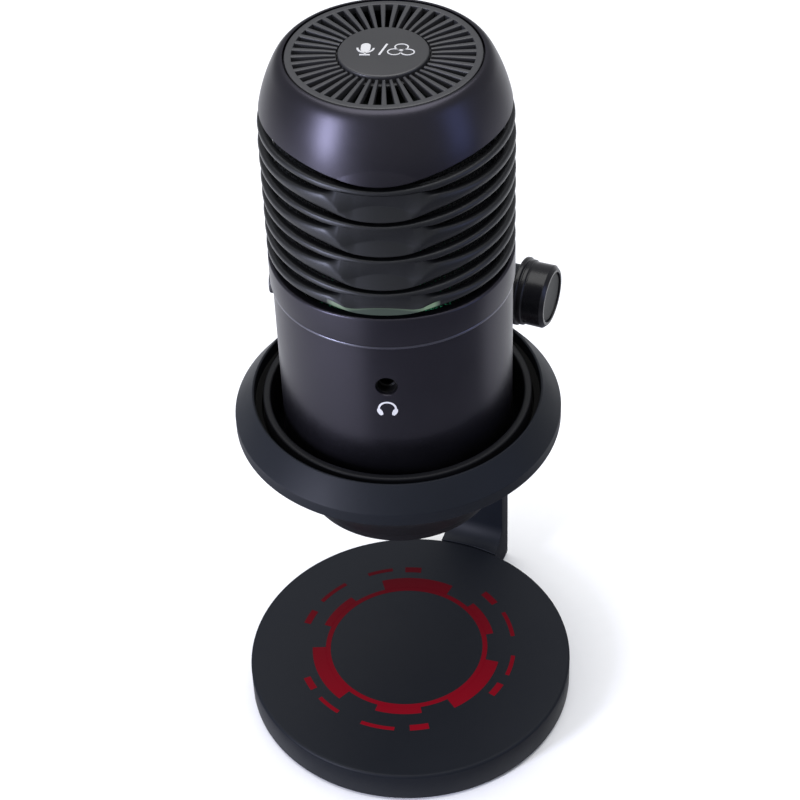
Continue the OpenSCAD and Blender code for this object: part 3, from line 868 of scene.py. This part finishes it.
BARREL_LOW, SEAM_Z = span("lower_barrel")
BARREL_R = radius("lower_barrel")
SIDE_Z = sum(span("side_button")) / 2
SIDE_R = (span("side_button")[1] - span("side_button")[0]) / 2 - 0.5
USB_Z = sum(span("usb_socket")) / 2


def facing(azimuth, z):
    """Frame on the microphone's axis at level z whose Z points out at an azimuth from its front."""
    return MIC @ Matrix.Translation((0, 0, z * MM)) @ Matrix.Rotation(
        math.radians(azimuth), 4, "Z") @ Matrix.Rotation(math.radians(90), 4, "X")


def stadium(width, height):
    """Outline of a slot with round ends."""
    r = height / 2
    reach = width / 2 - r
    return arc_points(reach, 0, r, -90, 90, 12) + arc_points(-reach, 0, r, 90, 270, 12)


def make_barrel():
    """The lower casing with its three openings, and the bright seam over it."""
    inner = BARREL_R - 2.2
    shape = Shape()
    shape.lathe(rounded([(26.6, BARREL_LOW, 0.3), (BARREL_R - 2.4, BARREL_LOW, 0.8),
                         (BARREL_R, BARREL_LOW + 4, 3), (BARREL_R, SEAM_Z, 0.25), (inner, SEAM_Z, 0),
                         (inner, BARREL_LOW + 5, 0), (26.6, BARREL_LOW + 2.8, 0)], 6), 480)
    made = shape.object("barrel_casing")
    jack = Shape()
    jack.lathe([(0, 20), (2.6, 20), (2.6, BARREL_R - 0.3), (3.1, BARREL_R + 0.5), (0, BARREL_R + 0.5)], 64)
    side = Shape()
    side.lathe([(0, 20), (SIDE_R + 0.15, 20), (SIDE_R + 0.15, BARREL_R - 0.25),
                (SIDE_R + 0.6, BARREL_R + 0.4), (0, BARREL_R + 0.4)], 64)
    usb = Shape()
    usb.extrude(stadium(9.2, 3.5), 20, BARREL_R + 2)
    cut(made, [jack.object("cut_jack", facing(0, JACK_Z)),
               side.object("cut_side", facing(-90, SIDE_Z)),
               usb.object("cut_usb", facing(180, USB_Z))])
    piece(made, "barrel_casing", "microphone", "lower_barrel")

    seam = Shape()
    low, high = span("seam_ring")
    outer = radius("seam_ring")
    seam.lathe(rounded([(27.6, low, 0), (outer, low, 0.3), (outer, high, 0.3), (27.6, high, 0)], 5), 360)
    piece(seam, "seam_band", "microphone", "seam_ring")


def make_headphone_mark():
    """The headphone sign under the socket, laid on the barrel's curve."""
    marks = Shape()
    level = JACK_Z - 7.2

    def place(x, y, z):
        a = x / BARREL_R
        r = BARREL_R - 0.02 + z
        return (r * math.sin(a), -r * math.cos(a), level + y)

    marks.ribbon(arc_points(0, 0.2, 2.05, -8, 188, 28), 0.24, 0, PRINT_HEIGHT, place)
    for side in (-1, 1):
        lean = [(side * mix(2.25, 1.35, t), mix(0.1, -1.9, t) + 0.1) for t in (0, 0.25, 0.5, 0.75, 1)]
        marks.ribbon(lean, [0.25, 0.55, 0.62, 0.55, 0.3], 0, PRINT_HEIGHT, place)
    piece(marks, "headphone_mark", "microphone", material=PALE_PRINT)


def make_sockets():
    """The headphone socket's insert and the USB socket's shell with its tongue."""
    shape = Shape()
    nose = BARREL_R - 0.7
    shape.lathe(rounded([(JACK_BORE, 16.2, 0), (JACK_BORE, nose - 2.2, 0.2), (2.2, nose - 2.2, 0.1),
                         (2.3, nose, 0.1), (2.48, nose - 0.05, 0.05), (2.48, 26, 0),
                         (3.8, 26, 0.3), (3.8, 15.3, 0.3), (0, 15.3, 0), (0, 16.2, 0)], 4), 96)
    piece(shape, "headphone_socket_insert", "microphone", "headphone_socket", place=facing(0, JACK_Z))
    usb = Shape()
    start, end = 20.1, 28.5
    outer, inner = stadium(9.0, 3.2), stadium(8.3, 2.5)
    rows = [[(x, y, start) for x, y in outer], [(x, y, end - 0.15) for x, y in outer],
            [(x * 0.985, y * 0.96, end) for x, y in outer], [(x, y, end) for x, y in inner],
            [(x, y, start + 1.2) for x, y in inner]]
    size = len(outer)
    faces = [(j * size + i, j * size + (i + 1) % size, (j + 1) * size + (i + 1) % size, (j + 1) * size + i)
             for j in range(4) for i in range(size)]
    faces += [tuple(reversed(range(size))), tuple(range(4 * size, 5 * size))]
    usb.add([p for row in rows for p in row], faces)
    tongue = rounded([(-3.3, -0.35, 0.15), (3.3, -0.35, 0.15), (3.3, 0.35, 0.15), (-3.3, 0.35, 0.15)], 3)
    usb.extrude(tongue, start + 1, end - 1.4)
    piece(usb, "usb_shell", "microphone", "usb_socket", place=facing(180, USB_Z))


def make_side_button():
    """The small round button on the microphone's left."""
    shape = Shape()
    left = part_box("side_button")[0].x
    end = (Vector((left, node_centre("side_button").y, 0)) - MIC_AXIS).length / MM
    start = end - 4.7
    shape.lathe(rounded([(0, start, 0), (SIDE_R + 0.5, start, 0.15), (SIDE_R + 0.5, start + 0.6, 0.15),
                         (SIDE_R, start + 0.6, 0), (SIDE_R, end - 0.15, 0.7), (0, end, 0)], 6), 64)
    piece(shape, "side_button_cap", "side_button", "side_button", place=facing(-90, SIDE_Z))


# ---- Shock mount ----

RING_WALL = 3.4


def make_ring():
    """The outer ring, the rubber ring inside it, and the bracket that hangs it on the hinge."""
    foot, lip = span("isolator_ring")
    ring_z = foot + 1
    bore = radius("isolator_ring")
    corners = [Vector(v.co) for v in frame["nodes"]["shock_ring"].data.vertices]
    outer = max(math.hypot(p.x - MIC_AXIS.x, p.y - MIC_AXIS.y) for p in corners if p.y < MIC_AXIS.y) / MM
    top = span("shock_ring")[1]
    shape = Shape()
    shape.lathe(rounded([(bore, ring_z - 2, 0.3), (outer - 3, ring_z - 2, 0.8), (outer, ring_z, 0.9),
                         (outer, ring_z + RING_WALL, 0.7), (bore + 0.5, top, 0.45),
                         (bore, top - 0.2, 0.3)], 6), 360)
    piece(shape, "mount_ring", "microphone", "shock_ring")

    cup = radius("cradle_cup")
    rubber = Shape()
    rubber.lathe(rounded([(cup, foot, 0.2), (bore, foot, 0.2), (bore, lip, 0.3),
                          (cup + 0.5, lip - 1.5, 0.4), (cup + 0.5, ring_z + 1.4, 0.2),
                          (cup, ring_z + 1.4, 0.1)], 5), 360)
    piece(rubber, "isolator_band", "microphone", "isolator_ring")

    # In the hinge frame: x away from the microphone, y up, z along the hinge
    to_hinge = HINGE.inverted()
    ears = [to_hinge @ p / MM for p in corners]
    ears = [p for p in ears if p.x > -2]
    ear_out = max(p.z for p in ears)
    ear_r = max(p.x for p in ears)
    ear_in = max((to_hinge @ Vector(v.co)).z for v in
                 frame["nodes"]["friction_washers"].data.vertices) / MM + 0.03
    hinge_z = HINGE_POINT.z / MM
    wall_x = (MIC_AXIS - HINGE_POINT * Vector((1, 1, 0))).length / MM - bore - 1.9
    low = ring_z - 4 - hinge_z
    bracket = Shape()
    bracket.extrude(rounded([(-wall_x, low, 0), (-ear_r - 1.5, low, 1.8), (-ear_r - 1.5, low + 6.8, 1.2),
                             (-wall_x, low + 6.8, 0)]), -ear_out, ear_out)
    side = [(-ear_r - 5, 5), (-ear_r - 5, -5)] + arc_points(0, 0, ear_r, -115, 115, 40)
    for start, end in ((-ear_out, -ear_in), (ear_in, ear_out)):
        bracket.extrude(side, start, end)
    made = bevelled(bracket.object("mount_bracket", HINGE), 0.5)
    bolt = Shape()
    bolt.lathe([(0, -2 * ear_out), (2.5, -2 * ear_out), (2.5, 2 * ear_out), (0, 2 * ear_out)], 64)
    cut(made, [bolt.object("cut_bolt", HINGE)])
    piece(made, "mount_bracket", "microphone", material=SLOT_MATERIALS["stand_paint"])


def make_cup():
    """The cup that holds the microphone's foot, with a foot ring of its own."""
    low, high = span("cradle_cup")
    outer = radius("cradle_cup")
    wall, bend = 2.0, 14
    face = [(21.4, low, 0.4), (25.1, low, 0.5), (26.4, low + 3.2, 0.3), (27.1, low + 3.8, 0.6)]
    face += [(x, y, 0) for x, y in arc_points(outer - bend, low + 19, bend, -40, 0, 8)]
    face += [(outer, high, 0.7), (outer - wall, high, 0.7)]
    face += [(x, y, 0) for x, y in arc_points(outer - wall - bend, low + 19, bend, 0, -52, 8)]
    face += [(24.4, low + 8.0, 0.3), (7.7, low + 8.0, 0.2), (7.7, low + 5.8, 0.2), (21.4, low + 5.8, 0.2)]
    shape = Shape()
    shape.lathe(rounded(face, 5), 360)
    piece(shape, "cup_casing", "microphone", "cradle_cup")


# ---- Knob ----

def make_knob():
    """Clamp knob: two collars, a smooth barrel with a chamfered end and a sunk end disc."""
    places = [HINGE.inverted() @ Vector(v.co) / MM for v in frame["nodes"]["clamp_knob"].data.vertices]
    start, end = min(p.z for p in places), max(p.z for p in places)
    r = max(math.hypot(p.x, p.y) for p in places) - 0.8
    outline = [(4.65, start, 0), (r + 0.55, start, 0.25), (r + 0.75, start + 0.35, 0.2),
               (r + 0.75, start + 1.2, 0.3), (r + 0.1, start + 1.5, 0.15), (r + 0.1, start + 1.75, 0.1),
               (r + 0.35, start + 1.95, 0.2), (r + 0.35, start + 2.8, 0.3), (r - 0.15, start + 3.1, 0.15),
               (r - 0.05, start + 3.5, 0.2), (r, end - 1.0, 0.3), (r - 0.95, end, 0.3),
               (r - 1.8, end, 0.25), (r - 1.8, end - 1.5, 0), (4.65, end - 1.5, 0)]
    shape = Shape()
    shape.lathe(rounded(outline, 4), 160)
    piece(shape, "knob_casing", "knob", "clamp_knob", place=HINGE)
    disc = Shape()
    disc.lathe(rounded([(0, end - 0.9, 0), (r - 1.85, end - 0.9, 0.1), (r - 1.85, end - 0.5, 0.2),
                        (r - 2.6, end - 0.35, 0.3), (0, end - 0.35, 0)], 4), 120)
    piece(disc, "knob_end_disc", "knob", "knob_cap", place=HINGE)


# ---- Base ----

BASE_R = radius("base_cover")
BASE_LOW, BASE_TOP = span("base_cover")
# The red print's painted light: how far its fade reaches, its painted shade at the back and its painted glow at
# the front
PRINT_REACH = 0.034
PRINT_PAINTED_SHADE = (0.03, 0.0005, 0.003, 1)
PRINT_PAINTED_GLOW = (0.2, 0.001, 0.009, 1)


def make_base():
    """The round base's cover."""
    shape = Shape()
    shape.lathe(rounded([(0, BASE_TOP - 3, 0), (BASE_R - 2.5, BASE_TOP - 3, 0.3),
                         (BASE_R - 2.5, BASE_LOW, 0.1), (BASE_R, BASE_LOW, 0.5),
                         (BASE_R, BASE_TOP, 1.0), (0, BASE_TOP, 0)], 7), 480)
    piece(shape, "base_casing", "stand", "base_cover", place=BASE)


def red_print_painted_light():
    """Red print whose emission is painted light: a painted glow at the front that fades to a painted shade at the
    back.
    """
    material = surface("red_print_painted_light", (0.02, 0.0005, 0.001), 0.6, specular=0.05, grain=(2600, 0.2))
    tree = material.node_tree
    shader = tree.nodes["Principled BSDF"]
    where = add_node(material, "TexCoord")
    split = add_node(material, "SeparateXYZ")
    tree.links.new(where.outputs["Object"], split.inputs["Vector"])
    # Painted light: the emission runs from the painted glow at the front to the painted shade at the back
    ramp = add_node(material, "MapRange", From_Min=-PRINT_REACH, From_Max=PRINT_REACH,
                    To_Min=1.0, To_Max=0.0)
    tree.links.new(split.outputs["Y"], ramp.inputs["Value"])
    color = add_node(material, "ValToRGB")
    color.color_ramp.elements[0].color = PRINT_PAINTED_SHADE
    color.color_ramp.elements[1].color = PRINT_PAINTED_GLOW
    tree.links.new(ramp.outputs["Result"], color.inputs["Fac"])
    tree.links.new(color.outputs["Color"], shader.inputs["Emission Color"])
    shader.inputs["Emission Strength"].default_value = 1.0
    return material


def make_base_print():
    """A generic round target: a ring, thick arcs on its outside and short dashes round them."""
    shape = Shape()

    def place(x, y, z):
        return (x - 1.0, y + 1.9, BASE_TOP - 0.02 + z)

    def sweep(inner, outer, start, end):
        middle, half = (inner + outer) / 2, (outer - inner) / 2
        steps = max(6, int((end - start) / 3))
        shape.ribbon(arc_points(0, 0, middle, start, end, steps), half, 0, PRINT_HEIGHT, place)

    sweep(22.0, 23.4, 0, 360)
    for k in range(3):
        sweep(23.3, 27.2, 120 * k - 62, 120 * k - 16)
        sweep(23.3, 25.6, 120 * k + 8, 120 * k + 38)
        sweep(29.6, 31.6, 120 * k - 40, 120 * k - 31)
        sweep(30.4, 31.6, 120 * k - 24, 120 * k - 10)
        sweep(30.4, 31.6, 120 * k + 4, 120 * k + 22)
        sweep(29.6, 31.6, 120 * k + 30, 120 * k + 40)
    piece(shape, "base_print", "stand", material=red_print_painted_light(), place=BASE)


# ---- CAD nodes with rounded edges ----

SOFTENED = [
    ("stand_arm", 0.6, "stand"), ("hinge_bolt", 0.25, "microphone"), ("knob_washer", 0.12, "microphone"),
    ("mount_screw", 0.3, "microphone"), ("friction_washers", 0.12, "stand")]


def soften_nodes():
    """Puts copies with rounded edges in the place of some CAD nodes."""
    for node, width, body in SOFTENED:
        piece(soft_copy(node, width), node + "_finish", body, node)


# ---- Stage ----

WORLD_COLOR = (0.94, 0.96, 1.0, 1)
WORLD_STRENGTH = 0.55
# Soft boxes: name, place, target, size (width, height), brightness and colour
SOFT_BOXES = (
    ("top_box", (0.0, 0.15, 1.5), (0, 0, 0.1), (1.5, 1.5), 3.4, (1, 1, 1)),
    ("left_box", (-0.67, -0.5, 0.3), (0, 0, 0.16), (0.13, 0.42), 52.0, (0.76, 0.78, 1.0)),
    ("right_box", (0.72, -0.34, 0.26), (0, 0, 0.16), (0.26, 0.5), 2.2, (0.35, 0.45, 1.0)))
# The dark cards' inner and outer radius, and their first and last angle from the front
FLAGS = ((0.05, 0.15, -180, 180), (0.165, 1.4, -28, 85))
FLAG_STEPS = 60
CAMERA_PLACE = (0, -0.4187, 0.4761)
CAMERA_LENS = 96.85
# Degrees up from looking straight down, and degrees of roll
CAMERA_TILT = 48.603
CAMERA_ROLL = -2.33


def make_floor():
    """The pale floor."""
    bpy.ops.mesh.primitive_plane_add(size=12)
    floor = bpy.context.object
    floor.name = "floor"
    floor.data.materials.append(surface("floor", (0.86, 0.86, 0.86), 0.85, specular=0.2,
                                        grain=(300, 0.05), fleck=0.01))


def make_flag():
    """Dark cards on the floor, seen only in reflections: the darker studio round the table."""
    points, faces = [], []
    for inner, outer, start, end in FLAGS:
        for i in range(FLAG_STEPS + 1):
            a = math.radians(mix(start, end, i / FLAG_STEPS))
            points += [(r * math.sin(a), -r * math.cos(a), 0.001) for r in (inner, outer)]
            if i:
                n = len(points)
                faces.append((n - 4, n - 3, n - 1, n - 2))
    mesh = bpy.data.meshes.new("flag")
    mesh.from_pydata(points, [], faces)
    flag = bpy.data.objects.new("flag", mesh)
    flag.data.materials.append(surface("flag", (0.2, 0.2, 0.22), 0.9, specular=0.1, grain=(300, 0.05)))
    bpy.context.scene.collection.objects.link(flag)
    flag.visible_camera = False
    flag.visible_diffuse = False
    flag.visible_shadow = False


def area_light(name, place, target, size, radiance, color):
    """A soft box at place, turned to target, sized (width, height), with that brightness."""
    data = bpy.data.lights.new(name, "AREA")
    data.shape = "RECTANGLE"
    data.size, data.size_y = size
    data.energy = radiance * math.pi * size[0] * size[1]
    data.color = color
    light = bpy.data.objects.new(name, data)
    light.location = place
    light.rotation_euler = (Vector(target) - Vector(place)).to_track_quat("-Z", "Y").to_euler()
    light.visible_camera = False
    bpy.context.scene.collection.objects.link(light)


def make_lights():
    """Pale surroundings, a large soft box overhead, and two narrow ones at the sides."""
    world = bpy.data.worlds.new("studio")
    bpy.context.scene.world = world
    world.use_nodes = True
    background = world.node_tree.nodes["Background"]
    background.inputs["Color"].default_value = WORLD_COLOR
    background.inputs["Strength"].default_value = WORLD_STRENGTH
    for box in SOFT_BOXES:
        area_light(*box)


def make_camera():
    """The photograph's viewpoint: 41.4 degrees down, a long lens, a slight roll."""
    data = bpy.data.cameras.new("camera")
    data.sensor_width = 36
    data.lens = CAMERA_LENS
    data.clip_start = 0.01
    camera = bpy.data.objects.new("camera", data)
    tilt = Matrix.Rotation(math.radians(CAMERA_TILT), 4, "X")
    roll = Matrix.Rotation(math.radians(CAMERA_ROLL), 4, "Z")
    camera.matrix_world = Matrix.Translation(CAMERA_PLACE) @ tilt @ roll
    bpy.context.scene.collection.objects.link(camera)
    bpy.context.scene.camera = camera


make_camera()
dress_cad_nodes()
light_the_guide()
make_base()
make_base_print()
make_ring()
make_cup()
make_barrel()
make_headphone_mark()
make_sockets()
make_side_button()
make_grille()
make_wire_mesh()
make_top_grille()
make_mode_button()
make_knob()
soften_nodes()
make_floor()
make_flag()
make_lights()

bpy.context.scene.view_settings.view_transform = "Standard"
